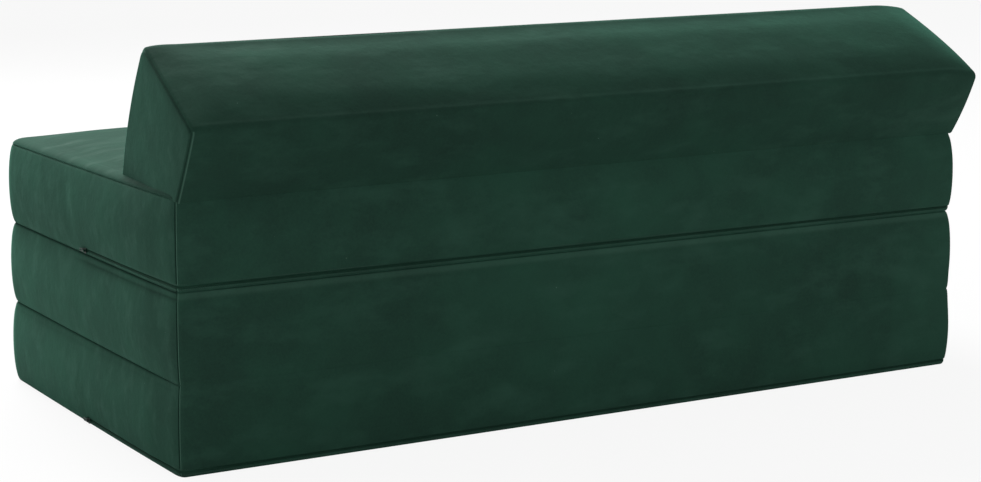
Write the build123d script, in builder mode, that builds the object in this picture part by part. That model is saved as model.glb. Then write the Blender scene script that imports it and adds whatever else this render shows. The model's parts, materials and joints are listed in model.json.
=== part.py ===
# Folding sofa bed made of foam: three equal sections lie on one another like a folded
# concertina, and a leaning backrest is sewn to the top one. The lower two are joined
# along the rear edge, the upper two along the front edge, so the stack lifts back and
# lies down as a bed three sections long, with the backrest as its pillow.
# +X runs along the width, -Y is the front, +Z is up. Lengths are in millimetres.
# The model is drawn from the rear seam and is centred on the whole sofa when written.
import math
import os

from build123d import *

# the three sections
sofa_width = 1400.0  # between the end seams
section_depth = 700.0  # between the front and rear seams
section_height = 132.0
fold_gap = 0.6  # between two covers that lie on each other
fold_clearance = 0.1  # the front fold turns this far in front of its two strips
cover_thickness = 2.0  # velvet with its felt backing
corner_radius = 14.0  # of the upright corners, in plan
edge_band = 9.0  # height of the rounded rim that belongs to a top or underside panel
side_bow = 8.0  # how far a side swells out between its seams
side_crown = 1.5  # how much more it swells at mid length
crown_along = 3.0  # rise of the seat top along the width
crown_across = 4.0  # rise of the seat top from front to rear
seat_rim_rise = 8.0  # how far the seat's top panel stands above its seam at the corners
seat_seam_drop = 2.0  # that seam lies this far below the height of three sections
seat_edge_radius = 10.0

# the backrest, a block that leans back and is cut level where it stands on the seat
lean_degrees = 29.0  # of its rear face from upright, and of its top face from level
front_lean_degrees = 25.0
back_rise = 119.0  # length of its rear face
back_thickness = 217.0  # across its top face
back_bite = 60.0  # how far its outline runs on into the seat, before it is cut
end_step = 3.0  # each end stands in from the end seam of the seat by this
rear_ridge_radius = 24.0
front_ridge_radius = 18.0
end_seam_radius = 5.0
rear_swell = 2.0
top_swell = 3.0
front_swell = 6.0
end_swell = 7.0

# the zips of the seat and base covers
zip_rise = 7.5  # middle of the chain above the lower edge of its section
tape_height = 10.0
tape_recess = 0.6  # the tape lies this far below the velvet
chain_height = 4.5
chain_proud = 1.0  # the closed teeth stand out of the velvet by this
zip_start_share = 0.5  # of the depth, measured from the rear, where both ends of the zip lie
stop_length = 3.0
stop_wrap = 0.5
slider_length = 11.0
slider_nose = 5.0  # width of its narrow end
slider_height = 8.0
slider_plate = 1.3
slider_lip = 0.5
running_gap = 0.3
arch_length = 7.0
arch_height = 3.2
arch_width = 1.8
arch_wire = 0.9
pull_length = 17.0
pull_width = 5.0
pull_plate = 1.0
pull_bar = 1.0  # what is left beside and beyond the eye
pull_gap = 0.25

# the cloth strip that joins the upper two sections along the front
strip_thickness = 1.0

overrun = 20.0  # how far a cutting body runs past what it cuts

# height and bow of a side, as shares of the section height and of side_bow
level_shares = (0.0, 0.045, 0.5, 0.955, 1.0)
bow_shares = (0.0, 0.4, 1.0, 0.4, 0.0)
# the rear panel runs unbroken over the lower two sections and is fullest at their fold
panel_bow_shares = (0.0, 0.4, 0.85, 0.98, 1.0)

half_width = sofa_width / 2
base_bottom = 0.0
base_top = section_height - fold_gap / 2
middle_bottom = section_height + fold_gap / 2
middle_top = 2 * section_height - fold_gap / 2
seat_bottom = 2 * section_height + fold_gap / 2
seat_top = 3 * section_height
seat_crest = seat_top + seat_rim_rise + crown_along + crown_across
rear_fold_y = side_bow + running_gap / 2
strip_front_y = -section_depth - side_bow - side_crown - running_gap
front_fold_y = strip_front_y - fold_clearance

os.makedirs("parts", exist_ok=True)
pieces = []


def keep(part, name):
    part.label = name
    pieces.append(part)


def block(plan, low, high):
    # an upright block on a plan outline, between two heights
    with BuildPart() as upright:
        with BuildSketch(Plane.XY.offset(low)):
            with BuildLine():
                Polyline(*plan, close=True)
            make_face()
        extrude(amount=high - low)
    return upright.part


def within(solid, region):
    with BuildPart() as left:
        add(solid)
        add(region, mode=Mode.INTERSECT)
    return left.part


def joined(first, second):
    with BuildPart() as both:
        add(first)
        add(second)
    return both.part


def hollow(outer, inner):
    with BuildPart() as shell:
        add(outer)
        add(inner, mode=Mode.SUBTRACT)
    return shell.part


def side_run(start, end, swell):
    # one side of an outline, straight or a shallow arc that swells to the right of its run
    if swell > 0:
        run = Vector(*end) - Vector(*start)
        out = Vector(run.Y, -run.X).normalized() * swell
        ThreePointArc(start, (Vector(*start) + Vector(*end)) / 2 + out, end)
    else:
        Line(start, end)


def corner_run(start, end, centre, radius):
    middle = (Vector(*start) + Vector(*end)) / 2 - Vector(*centre)
    ThreePointArc(start, Vector(*centre) + middle.normalized() * radius, end)


def section_outline(plane, sides, rear, inset, swell, rear_panel_swell):
    # plan outline at one height: sides and rear are the distances out from the seams
    radius = corner_radius - inset
    x = half_width + sides - inset
    y_front = -section_depth - sides + inset
    y_rear = rear - inset
    left, right = -x + radius, x - radius
    low, high = y_front + radius, y_rear - radius
    with BuildSketch(plane) as outline:
        with BuildLine():
            side_run((left, y_front), (right, y_front), swell)
            corner_run((right, y_front), (x, low), (right, low), radius)
            side_run((x, low), (x, high), swell)
            corner_run((x, high), (right, y_rear), (right, high), radius)
            side_run((right, y_rear), (left, y_rear), rear_panel_swell)
            corner_run((left, y_rear), (-x, high), (left, high), radius)
            side_run((-x, high), (-x, low), swell)
            corner_run((-x, low), (left, y_front), (left, low), radius)
        make_face()
    return outline.sketch


def section_form(bottom, top, rear_shares, inset):
    # a foam section as it fills its cover, drawn in at its seams and swelling between them
    low = bottom + inset
    height = top - inset - low
    outlines = []
    for level, bow, rear_bow in zip(level_shares, bow_shares, rear_shares):
        swell = side_crown * bow
        rear_swell_here = swell if rear_shares is bow_shares else 0.0
        plane = Plane.XY.offset(low + height * level)
        outlines.append(
            section_outline(plane, side_bow * bow, side_bow * rear_bow, inset, swell, rear_swell_here)
        )
    with BuildPart() as form:
        loft(outlines)
    return form.part


def seat_block(inset):
    return section_form(seat_bottom, seat_crest, bow_shares, inset)


def seat_form(inset):
    # the seat section, whose top is crowned both ways and rounded at its rim
    reach = half_width + side_bow + overrun
    turn_radius = (section_depth / 2) ** 2 / (2 * crown_across)
    crest = seat_crest - inset
    sweep = math.degrees(2 * math.asin((section_depth / 2 + overrun + side_bow) / turn_radius))
    axis_point = Vector(0, -section_depth / 2, crest - turn_radius)
    start = Plane(origin=axis_point, x_dir=(1, 0, 0), z_dir=(0, -1, 0)).rotated((sweep / 2, 0, 0))
    fall = crown_along * (reach / half_width) ** 2
    with BuildPart() as under_crown:
        with BuildSketch(start):
            with BuildLine():
                ThreePointArc(
                    (-reach, turn_radius - fall), (0, turn_radius), (reach, turn_radius - fall)
                )
                Line((reach, turn_radius - fall), (reach, turn_radius - 2 * section_height))
                Line((reach, turn_radius - 2 * section_height), (-reach, turn_radius - 2 * section_height))
                Line((-reach, turn_radius - 2 * section_height), (-reach, turn_radius - fall))
            make_face()
        revolve(axis=Axis(axis_point, (1, 0, 0)), revolution_arc=-sweep)
    with BuildPart() as form:
        add(seat_block(inset))
        add(under_crown.part, mode=Mode.INTERSECT)
        rim = form.faces().sort_by(Axis.Z)[-1].edges()
        fillet(rim, seat_edge_radius - inset)
    return form.part


# corners of the backrest's outline in the Y-Z plane, from the rear foot round to the front foot
lean = math.radians(lean_degrees)
front_lean = math.radians(front_lean_degrees)
back_up = Vector(math.sin(lean), math.cos(lean))
back_forward = Vector(-math.cos(lean), math.sin(lean))
front_up = Vector(math.sin(front_lean), math.cos(front_lean))
rear_foot = Vector(0, seat_top)
rear_ridge = rear_foot + back_up * back_rise
front_ridge = rear_ridge + back_forward * back_thickness
front_foot = front_ridge - front_up * ((front_ridge.Y - seat_top) / math.cos(front_lean))
back_centre = (rear_ridge + front_ridge + rear_foot + front_foot) / 4
back_half_length = half_width - end_step


def back_form(seat, inset):
    # the backrest block: a leaning outline run along the width, with domed ends
    start = rear_foot - back_up * back_bite
    end = front_foot - front_up * back_bite
    corners = (rear_ridge, front_ridge, rear_foot, front_foot)
    dome_radius = max((corner - back_centre).length for corner in corners)
    sphere_radius = (dome_radius**2 + end_swell**2) / (2 * end_swell)
    tip = back_half_length + end_swell - inset
    half_dome = tip - sphere_radius + math.sqrt(sphere_radius**2 - dome_radius**2 / 4)
    wall = tip - sphere_radius + math.sqrt(sphere_radius**2 - dome_radius**2)
    with BuildPart() as form:
        with BuildSketch(Plane.YZ):
            with BuildLine():
                side_run(rear_ridge, start, rear_swell)
                Line(start, end)
                side_run(end, front_ridge, front_swell)
                side_run(front_ridge, rear_ridge, top_swell)
            make_face()
            fillet(vertices().sort_by(Axis.Y)[-1], front_ridge_radius)
            fillet(vertices().sort_by(Axis.X)[-1], rear_ridge_radius)
            if inset > 0:
                offset(amount=-inset)
        extrude(amount=back_half_length + end_swell + overrun, both=True)
        middle = Vector(0, back_centre.X, back_centre.Y)
        with BuildSketch(Plane(origin=middle, x_dir=(1, 0, 0), z_dir=(0, -1, 0))):
            with BuildLine():
                ThreePointArc((tip, 0), (half_dome, dome_radius / 2), (wall, dome_radius))
                Line((wall, dome_radius), (-wall, dome_radius))
                ThreePointArc((-wall, dome_radius), (-half_dome, dome_radius / 2), (-tip, 0))
                Line((-tip, 0), (tip, 0))
            make_face()
        revolve(axis=Axis(middle, (1, 0, 0)), mode=Mode.INTERSECT)
        ends = form.faces().sort_by(Axis.X)
        fillet(ends[0].edges() + ends[-1].edges(), end_seam_radius - inset)
    return hollow(form.part, seat)


# plan outlines that divide a cover at its corner seams, which are cut at 45 degrees
out_x = half_width + overrun
in_x = half_width - overrun
out_front = -section_depth - overrun
in_front = -section_depth + overrun
wall_plans = {
    "rear": ((out_x, overrun), (-out_x, overrun), (-in_x, -overrun), (in_x, -overrun)),
    "front": ((-out_x, out_front), (out_x, out_front), (in_x, in_front), (-in_x, in_front)),
    "left_end": ((-out_x, overrun), (-out_x, out_front), (-in_x, in_front), (-in_x, -overrun)),
    "right_end": ((out_x, out_front), (out_x, overrun), (in_x, -overrun), (in_x, in_front)),
}
whole_plan = ((-out_x, out_front), (out_x, out_front), (out_x, overrun), (-out_x, overrun))
lip_plan = ((half_width, 0), (out_x, overrun), (-out_x, overrun), (-half_width, 0))


def cover_panels(name, shell, bottom, low, high, top, fold_side, zip_region):
    # the sewn panels of one section's cover: low and high are the heights of the lower and
    # upper seam, and the rear panel runs on past its seam on the side of the rear fold
    under_region = block(whole_plan, bottom - overrun, low)
    top_region = block(whole_plan, high, top + overrun)
    walls = {side: block(plan, low, high) for side, plan in wall_plans.items()}
    if fold_side == "top":
        lip = block(lip_plan, high, top + overrun)
        top_region = hollow(top_region, lip)
        walls["rear"] = joined(walls["rear"], lip)
    if fold_side == "underside":
        lip = block(lip_plan, bottom - overrun, low)
        under_region = hollow(under_region, lip)
        walls["rear"] = joined(walls["rear"], lip)
    keep(within(shell, top_region), f"{name}_top_panel")
    keep(within(shell, under_region), f"{name}_underside_panel")
    for side, region in walls.items():
        if zip_region is not None and side != "front":
            region = hollow(region, zip_region)
        keep(within(shell, region), f"{name}_{side}_panel")


# both ends of a zip lie part way along the end panels, and it runs round the rear
zip_start_y = -section_depth * zip_start_share


def zip_region(middle, height, front, rear):
    plan = ((-out_x, front), (out_x, front), (out_x, rear), (-out_x, rear))
    return block(plan, middle - height / 2, middle + height / 2)


def zip_pieces(name, form_at, bottom):
    # tape, closed chain and end stops, all following the swell of the cover that they close
    middle = bottom + zip_rise
    stop_front = zip_start_y - stop_length
    recess = form_at(tape_recess)
    tape_region = zip_region(middle, tape_height, stop_front, overrun)
    chain_region = zip_region(middle, chain_height, zip_start_y, overrun)
    stop_region = zip_region(middle, chain_height + 2 * stop_wrap, stop_front, zip_start_y)
    tape = hollow(within(recess, tape_region), form_at(cover_thickness))
    chain = hollow(within(form_at(-chain_proud), chain_region), recess)
    stops = hollow(within(form_at(-chain_proud - stop_wrap), stop_region), recess)
    keep(tape, f"{name}_zip_tape")
    keep(chain, f"{name}_zip_chain")
    keep(stops, f"{name}_zip_stops")
    zip_slider(name, chain.bounding_box().max.X, middle)
    return tape_region


slider_y = zip_start_y + running_gap + slider_length / 2
slide_travel = -corner_radius - running_gap - slider_length / 2 - slider_y


def zip_slider(name, chain_face, height):
    # the slider on the right end, and the pull whose bar lies in its arch
    inner_face = chain_face + running_gap
    plate_face = inner_face + slider_plate
    centre = Vector(inner_face, slider_y, height)
    half_length = slider_length / 2
    half_height = slider_height / 2
    lip_width = (slider_height - chain_height) / 2 - running_gap
    with BuildPart() as slider:
        with BuildSketch(Plane(origin=centre, x_dir=(0, 1, 0), z_dir=(1, 0, 0))):
            with BuildLine():
                Polyline(
                    (half_length, -half_height),
                    (half_length, half_height),
                    (0, half_height),
                    (-half_length, slider_nose / 2),
                    (-half_length, -slider_nose / 2),
                    (0, -half_height),
                    close=True,
                )
            make_face()
        extrude(amount=slider_plate)
        fillet(slider.edges().filter_by(Axis.X), slider_plate / 2)
        with BuildSketch(Plane(origin=centre, x_dir=(0, 1, 0), z_dir=(1, 0, 0))):
            with Locations(
                (half_length / 2, half_height - lip_width / 2),
                (half_length / 2, lip_width / 2 - half_height),
            ):
                Rectangle(half_length - slider_plate, lip_width)
        extrude(amount=-slider_lip)
        with BuildSketch(Plane(origin=(plate_face, slider_y, height), z_dir=(0, 0, 1))):
            with Locations((arch_height / 2, 0)):
                arch = Rectangle(arch_height, arch_length)
            fillet(arch.vertices().group_by(Axis.X)[-1], arch_wire)
            with Locations((arch_height / 2 - arch_wire / 2, 0)):
                Rectangle(arch_height - arch_wire, arch_length - 2 * arch_wire, mode=Mode.SUBTRACT)
        extrude(amount=arch_width / 2, both=True)
    keep(slider.part, f"{name}_zip_slider")

    # the bar turns in the middle of the arch's opening, and the eye clears the whole arch
    turn = Vector(plate_face + (arch_height - arch_wire) / 2, slider_y, height)
    eye_reach = math.hypot(arch_length / 2, (arch_height + arch_wire) / 2) + pull_gap
    tab_end = pull_bar / 2 - pull_length
    with BuildPart() as pull:
        with BuildSketch(Plane(origin=turn, x_dir=(0, 1, 0), z_dir=(1, 0, 0))):
            with Locations((pull_bar / 2 - pull_length / 2, 0)):
                tab = Rectangle(pull_length, pull_width)
            fillet(tab.vertices().group_by(Axis.X)[0], pull_width / 3)
            with Locations((-(eye_reach + pull_bar / 2) / 2, 0)):
                Rectangle(eye_reach - pull_bar / 2, pull_width - 2 * pull_bar, mode=Mode.SUBTRACT)
            with Locations(((tab_end - eye_reach - pull_bar) / 2, 0)):
                grip = -tab_end - eye_reach - 3 * pull_bar
                SlotOverall(grip, pull_width - 3 * pull_bar, mode=Mode.SUBTRACT)
        extrude(amount=pull_plate / 2, both=True)
    keep(pull.part, f"{name}_zip_pull")
    print(f"{name} zip: slider at {tuple(centre)}, pull turns about {tuple(turn)}")


def base_form(inset):
    return section_form(base_bottom, base_top, panel_bow_shares, inset)


def middle_form(inset):
    return section_form(middle_bottom, middle_top, panel_bow_shares[::-1], inset)


# base section, which stands on the floor
base_shape = base_form(0.0)
base_foam = base_form(cover_thickness)
base_tape_region = zip_pieces("base", base_form, base_bottom)
keep(base_foam, "base_foam")
cover_panels(
    "base",
    hollow(base_shape, base_foam),
    base_bottom,
    base_bottom + zip_rise - tape_height / 2,
    base_top - edge_band,
    base_top,
    "top",
    base_tape_region,
)

# middle section, which turns over as the bed is laid out
middle_shape = middle_form(0.0)
middle_foam = middle_form(cover_thickness)
keep(middle_foam, "middle_foam")
cover_panels(
    "middle",
    hollow(middle_shape, middle_foam),
    middle_bottom,
    middle_bottom + edge_band,
    middle_top - edge_band,
    middle_top,
    "underside",
    None,
)

# seat section
seat_shape = seat_form(0.0)
seat_foam = seat_form(cover_thickness)
seat_tape_region = zip_pieces("seat", seat_block, seat_bottom)
keep(seat_foam, "seat_foam")
cover_panels(
    "seat",
    hollow(seat_shape, seat_foam),
    seat_bottom,
    seat_bottom + zip_rise - tape_height / 2,
    seat_top - seat_seam_drop,
    seat_crest,
    None,
    seat_tape_region,
)

# backrest: its cover is one long wrap with an end panel at each side, sewn to the seat's top
back_shape = back_form(seat_shape, 0.0)
back_foam = back_form(seat_shape, cover_thickness)
back_shell = hollow(back_shape, back_foam)
back_seam_x = back_half_length - end_seam_radius
with BuildPart() as between_ends:
    with BuildSketch(Plane.YZ.offset(-back_seam_x)):
        with Locations((0, seat_top)):
            Rectangle(2 * section_depth, 2 * section_depth)
    extrude(amount=2 * back_seam_x)
back_ends = hollow(back_shell, between_ends.part).solids().sort_by(Axis.X)
keep(back_foam, "backrest_foam")
keep(within(back_shell, between_ends.part), "backrest_wrap_panel")
keep(back_ends[0], "backrest_left_end_panel")
keep(back_ends[-1], "backrest_right_end_panel")

# the strip that joins seat and middle along the front: its halves meet at the fold
strip_length = sofa_width - 2 * corner_radius
strip_depth = -section_depth - strip_front_y
strip_centre_y = strip_front_y + strip_depth / 2
with BuildPart() as lower_strip:
    with BuildSketch(Plane.XY.offset(middle_top)):
        with Locations((0, strip_centre_y)):
            Rectangle(strip_length, strip_depth)
    extrude(amount=-strip_thickness)
    add(middle_shape, mode=Mode.SUBTRACT)
keep(lower_strip.part, "front_fold_lower_strip")
with BuildPart() as upper_strip:
    with BuildSketch(Plane.XY.offset(seat_bottom)):
        with Locations((0, strip_centre_y)):
            Rectangle(strip_length, strip_depth)
    extrude(amount=strip_thickness)
    add(seat_shape, mode=Mode.SUBTRACT)
keep(upper_strip.part, "front_fold_upper_strip")

# the origin is on the floor, under the middle of the whole sofa
rear_reach = max(piece.bounding_box().max.Y for piece in pieces)
front_reach = min(piece.bounding_box().min.Y for piece in pieces)
middle_y = (rear_reach + front_reach) / 2
print(f"middle of the sofa {middle_y}")
print(f"rear fold at y {rear_fold_y - middle_y}, z {section_height}")
print(f"front fold at y {front_fold_y - middle_y}, z {2 * section_height}")
print(f"slide travel {slide_travel}")
for piece in pieces:
    placed = piece.moved(Location((0, -middle_y, 0)))
    placed.label = piece.label
    export_step(placed, f"parts/{piece.label}.step")
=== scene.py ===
import json
import math

import bmesh
import bpy
from mathutils import Euler, Matrix, Vector, kdtree, noise


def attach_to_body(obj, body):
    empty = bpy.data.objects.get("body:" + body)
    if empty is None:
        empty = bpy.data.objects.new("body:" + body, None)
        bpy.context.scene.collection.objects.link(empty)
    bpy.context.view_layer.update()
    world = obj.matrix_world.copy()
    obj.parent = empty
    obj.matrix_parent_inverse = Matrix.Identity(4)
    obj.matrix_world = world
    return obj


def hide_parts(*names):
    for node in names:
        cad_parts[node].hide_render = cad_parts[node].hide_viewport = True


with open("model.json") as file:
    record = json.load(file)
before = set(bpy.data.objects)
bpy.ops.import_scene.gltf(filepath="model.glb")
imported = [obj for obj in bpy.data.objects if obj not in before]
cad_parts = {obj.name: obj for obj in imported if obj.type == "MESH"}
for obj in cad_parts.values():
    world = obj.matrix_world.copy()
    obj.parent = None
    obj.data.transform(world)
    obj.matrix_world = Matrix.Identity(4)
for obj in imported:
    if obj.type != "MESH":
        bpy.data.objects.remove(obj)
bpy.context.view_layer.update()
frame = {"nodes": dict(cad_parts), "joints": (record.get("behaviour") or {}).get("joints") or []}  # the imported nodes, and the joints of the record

mm = 0.001

# where the sofa's own lines lie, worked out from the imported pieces
joints = {joint["name"]: joint for joint in frame["joints"]}
rearFold = Vector(joints["rear_fold"]["pos_m"])
frontFold = Vector(joints["front_fold"]["pos_m"])

sofa = {
    "sectionHeight": rearFold.z,
    "foldGap": 0.6 * mm,
    "foldClear": 0.1 * mm,  # each cover stays this far from the plane of its fold
    "foldEase": 2.0 * mm,
    "foldReach": 40 * mm,  # how far the shared rear cloth eases into each cover
    "halfWidth": 700 * mm,
    "rearSeam": rearFold.y - 8.15 * mm,
    "frontSeam": frontFold.y + 9.8 * mm,
}


def added(name, data):
    made = bpy.data.objects.new(name, data)
    bpy.context.scene.collection.objects.link(made)
    return made


# camera, standing behind the sofa and to the side of its right end
view = {
    "side": 1.9062,
    "behindSeam": 2.9346,
    "height": 0.894,
    "turn": 30.231,
    "down": 7.525,
    "roll": -0.052,
    "lens": 84.46,
    "sensor": 36,
    "rise": -0.103,
    "far": 50,
}


def aimCamera():
    camera = added("camera", bpy.data.cameras.new("camera"))
    camera.data.lens = view["lens"]
    camera.data.sensor_width = view["sensor"]
    camera.data.shift_y = view["rise"]
    camera.data.clip_end = view["far"]
    turn = math.radians(180 - view["turn"])
    look = Euler((math.radians(90 - view["down"]), 0, turn), "XYZ")
    roll = Matrix.Rotation(math.radians(view["roll"]), 4, "Z")
    place = Vector((view["side"], sofa["rearSeam"] + view["behindSeam"], view["height"]))
    camera.matrix_world = Matrix.Translation(place) @ look.to_matrix().to_4x4() @ roll
    bpy.context.scene.camera = camera
    bpy.context.scene.view_settings.view_transform = "Standard"


aimCamera()
print("camera placed")


# sums of sockets are written as plain expressions
class Value:
    def __init__(self, graph, socket):
        self.graph = graph
        self.socket = socket

    def sum(self, operation, first, second):
        return self.graph.value("ShaderNodeMath", {0: first, 1: second}, operation=operation)

    def __add__(self, other):
        return self.sum("ADD", self, other)

    def __sub__(self, other):
        return self.sum("SUBTRACT", self, other)

    def __rsub__(self, other):
        return self.sum("SUBTRACT", other, self)

    def __mul__(self, other):
        return self.sum("MULTIPLY", self, other)

    __radd__ = __add__
    __rmul__ = __mul__

    def above(self, edge):
        return self.sum("GREATER_THAN", self, edge)

    def below(self, edge):
        return self.sum("LESS_THAN", self, edge)


class Graph:
    def __init__(self, tree):
        self.tree = tree
        tree.nodes.clear()

    def node(self, kind, values, **settings):
        made = self.tree.nodes.new(kind)
        for name, setting in settings.items():
            setattr(made, name, setting)
        for name, value in values.items():
            if isinstance(value, Value):
                self.tree.links.new(value.socket, made.inputs[name])
            else:
                made.inputs[name].default_value = value
        return made

    def value(self, kind, values, output=0, **settings):
        return Value(self, self.node(kind, values, **settings).outputs[output])

    def rays(self, *kinds):
        # 1 for rays of any of these kinds
        path = self.node("ShaderNodeLightPath", {})
        seen, *others = [Value(self, path.outputs[f"Is {kind} Ray"]) for kind in kinds]
        for other in others:
            seen = seen.sum("MAXIMUM", seen, other)
        return seen


class Finish(Graph):
    def __init__(self, name):
        self.material = bpy.data.materials.new(name)
        self.material.use_nodes = True
        super().__init__(self.material.node_tree)

    def place(self, stretch=(1, 1, 1)):
        objectPlace = self.value("ShaderNodeTexCoord", {}, "Object")
        return self.value("ShaderNodeMapping", {"Vector": objectPlace, "Scale": stretch})

    def cloud(self, scale, detail, stretch=(1, 1, 1), rough=0.5):
        place = self.place(stretch)
        values = {"Vector": place, "Scale": scale, "Detail": detail, "Roughness": rough}
        return self.value("ShaderNodeTexNoise", values)

    def spread(self, value, low, high):
        return self.value("ShaderNodeMapRange", {0: value, 1: low, 2: high})

    def blend(self, factor, first, second):
        # sockets 6 and 7 of this node take its two colours, and 2 gives the result
        return self.value("ShaderNodeMix", {0: factor, 6: first, 7: second}, 2, data_type="RGBA")

    def mark(self, name):
        return self.value("ShaderNodeAttribute", {}, "Fac", attribute_name=name)

    def bumped(self, height, distance, strength, under=None):
        values = {"Height": height, "Distance": distance, "Strength": strength}
        if under is not None:
            values["Normal"] = under
        return self.value("ShaderNodeBump", values)

    def finished(self, shader):
        self.node("ShaderNodeOutputMaterial", {"Surface": shader})
        return self.material

    def surface(self, values):
        return self.finished(self.value("ShaderNodeBsdfPrincipled", values))

    def coated(self, share, tones, rough, glint, relief, metal=0.0):
        # a colour blended from a dark and a light tone, with a fine relief
        return self.surface({
            "Base Color": self.blend(share, *tones),
            "Roughness": rough,
            "Metallic": metal,
            "Specular IOR Level": glint,
            "Normal": self.bumped(*relief),
        })


def rgb(red, green, blue):
    # a colour as it is picked on screen, 0 to 255, made linear
    parts = [part / 255 for part in (red, green, blue)]
    return tuple(((p + 0.055) / 1.055) ** 2.4 if p > 0.04 else p / 12.92 for p in parts) + (1.0,)


velvet = {
    "pile": rgb(38, 75, 60),
    "deepPile": rgb(31, 57, 47),
    "brushedPile": rgb(49, 88, 73),
    "brushedShare": 0.42,
    "tuftShare": 0.5,
    "tuftBase": 0.18,
    # painted shade, partly the nap lying dark, and a painted highlight, which the covers mark on
    # their points
    "paintedShadeAndNap": rgb(6, 27, 19),
    "paintedHighlight": rgb(104, 146, 128),
    "lint": rgb(120, 150, 138),
    "lintScale": 34.0,
    "lintSize": 0.028,
    "lintRarity": 0.86,
    "lintShare": 0.4,
    "rough": 0.92,
    "brushedGloss": 0.12,
    "glint": 0.12,
    "sheen": 0.42,
    "sheenRough": 0.34,
    "sheenTint": rgb(100, 187, 158),
}


def lintShare(finish):
    # small pale flecks, in a few of the cells only
    values = {"Vector": finish.place(), "Scale": velvet["lintScale"]}
    flecks = finish.node("ShaderNodeTexVoronoi", values)
    near = Value(finish, flecks.outputs["Distance"]).below(velvet["lintSize"])
    colour = Value(finish, flecks.outputs["Color"])
    chosen = finish.value("ShaderNodeSeparateColor", {0: colour}).above(velvet["lintRarity"])
    return near * chosen * velvet["lintShare"]


def velvetFinish():
    # clouds of tone, strokes of brushed nap, tufts and single fibres, from large to small
    finish = Finish("velvet")
    broad = finish.spread(finish.cloud(4.2, 3.0), 0.36, 0.64)
    patch = finish.spread(finish.cloud(13, 4.0, rough=0.6), 0.4, 0.66)
    brushed = finish.spread(finish.cloud(9, 4.0, (1.0, 3.4, 2.2), 0.62), 0.5, 0.72)
    tuft = finish.cloud(260, 3.0, rough=0.7)
    grain = finish.cloud(900, 2.0)
    pile = finish.blend(broad * 0.6 + patch * 0.4, velvet["deepPile"], velvet["pile"])
    for share, tone in (
        (brushed * velvet["brushedShare"], "brushedPile"),
        ((tuft - 0.5) * velvet["tuftShare"] + velvet["tuftBase"], "brushedPile"),
        # painted shade, partly the nap, and painted highlight, as each cover marks them
        (finish.mark("paintedShadeAndNap"), "paintedShadeAndNap"),
        (finish.mark("paintedHighlight"), "paintedHighlight"),
        (lintShare(finish), "lint"),
    ):
        pile = finish.blend(share, pile, velvet[tone])
    dents = finish.bumped(patch, 0.9 * mm, 0.5)
    return finish.surface({
        "Base Color": pile,
        "Roughness": velvet["rough"] - velvet["brushedGloss"] * brushed,
        "Specular IOR Level": velvet["glint"],
        "Sheen Weight": velvet["sheen"],
        "Sheen Roughness": velvet["sheenRough"],
        "Sheen Tint": velvet["sheenTint"],
        "Normal": finish.bumped(tuft * 0.5 + grain * 0.5, 0.25 * mm, 0.55, dents),
    })


def clothFinish():
    # the close black-green cloth of the underside
    finish = Finish("underside_cloth")
    weave = finish.cloud(700, 2.0, (1, 0.3, 1))
    tone = finish.cloud(20, 3.0)
    tones = rgb(30, 36, 34), rgb(52, 60, 57)
    share = tone * 0.5 + weave * 0.3
    return finish.coated(share, tones, 0.85 + 0.1 * tone, 0.2, (weave, 0.3 * mm, 0.5))


def tapeFinish():
    # twill tape of the zips and of the front fold
    finish = Finish("zip_tape")
    values = {"Vector": finish.place(), "Scale": 420.0, "Distortion": 0.6, "Detail": 1.0}
    twill = finish.value("ShaderNodeTexWave", values, bands_direction="DIAGONAL")
    tone = finish.cloud(60, 3.0)
    tones = rgb(26, 62, 48), rgb(50, 98, 80)
    share = twill * 0.45 + tone * 0.25
    return finish.coated(share, tones, 0.8 + 0.1 * tone, 0.25, (twill, 0.2 * mm, 0.6))


def toothFinish():
    finish = Finish("zip_teeth")
    tone = finish.cloud(900, 2.0)
    tones = rgb(12, 48, 35), rgb(24, 70, 53)
    return finish.coated(tone, tones, 0.55 + 0.15 * tone, 0.2, (tone, 0.05 * mm, 0.4))


def metalFinish():
    # painted zip metal, rubbed a little at its high places
    finish = Finish("zip_metal")
    tone = finish.cloud(240, 4.0, rough=0.7)
    rubbed = finish.spread(tone, 0.56, 0.7)
    tones = rgb(12, 42, 31), rgb(58, 108, 87)
    relief = (tone, 0.05 * mm, 0.3)
    return finish.coated(rubbed, tones, 0.36 + 0.14 * tone, 0.25, relief, 0.15 + 0.35 * rubbed)


def threadFinish():
    finish = Finish("thread")
    ply = finish.cloud(1400, 1.0, (1, 1, 0.4))
    tones = rgb(30, 54, 44), rgb(62, 92, 79)
    return finish.coated(ply, tones, 0.6 + 0.2 * ply, 0.5, (ply, 0.08 * mm, 0.5))


finishes = {
    "velvet": velvetFinish(),
    "underside": clothFinish(),
    "tape": tapeFinish(),
    "teeth": toothFinish(),
    "metal": metalFinish(),
    "thread": threadFinish(),
}
print("finishes made")


def pieceOf(name, finish, points, faces, edges=()):
    mesh = bpy.data.meshes.new(name)
    mesh.from_pydata(points, edges, faces)
    if finish:
        mesh.materials.append(finish)
    return added(name, mesh)


def attach(piece, body, slot, *nodes):
    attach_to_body(piece, body)
    if nodes:
        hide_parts(*nodes)


sewing = {
    "stopGrowth": 1.6,  # how slowly the steps along a length widen from its ends
    "bendGrowth": 1.2,  # and those round a bend from its middle
    "cornerEase": 90 * mm,  # over which a side's swell passes into what is left of it at a corner
    "waves": ((3.1, 1.0), (9.0, 0.35)),  # scale of each swell of the foam, and its share
    "ripples": ((38.0, 0.2 * mm), (17.0, 0.2 * mm)),
    "crease": math.radians(55),
    "hardEdge": math.radians(40),
    "cage": {"fine": 9 * mm, "coarse": 17 * mm, "bendSteps": 2},
}


def smooth(value, low=0.0, high=1.0):
    share = min(1.0, max(0.0, (value - low) / (high - low)))
    return share * share * (3 - 2 * share)


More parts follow.
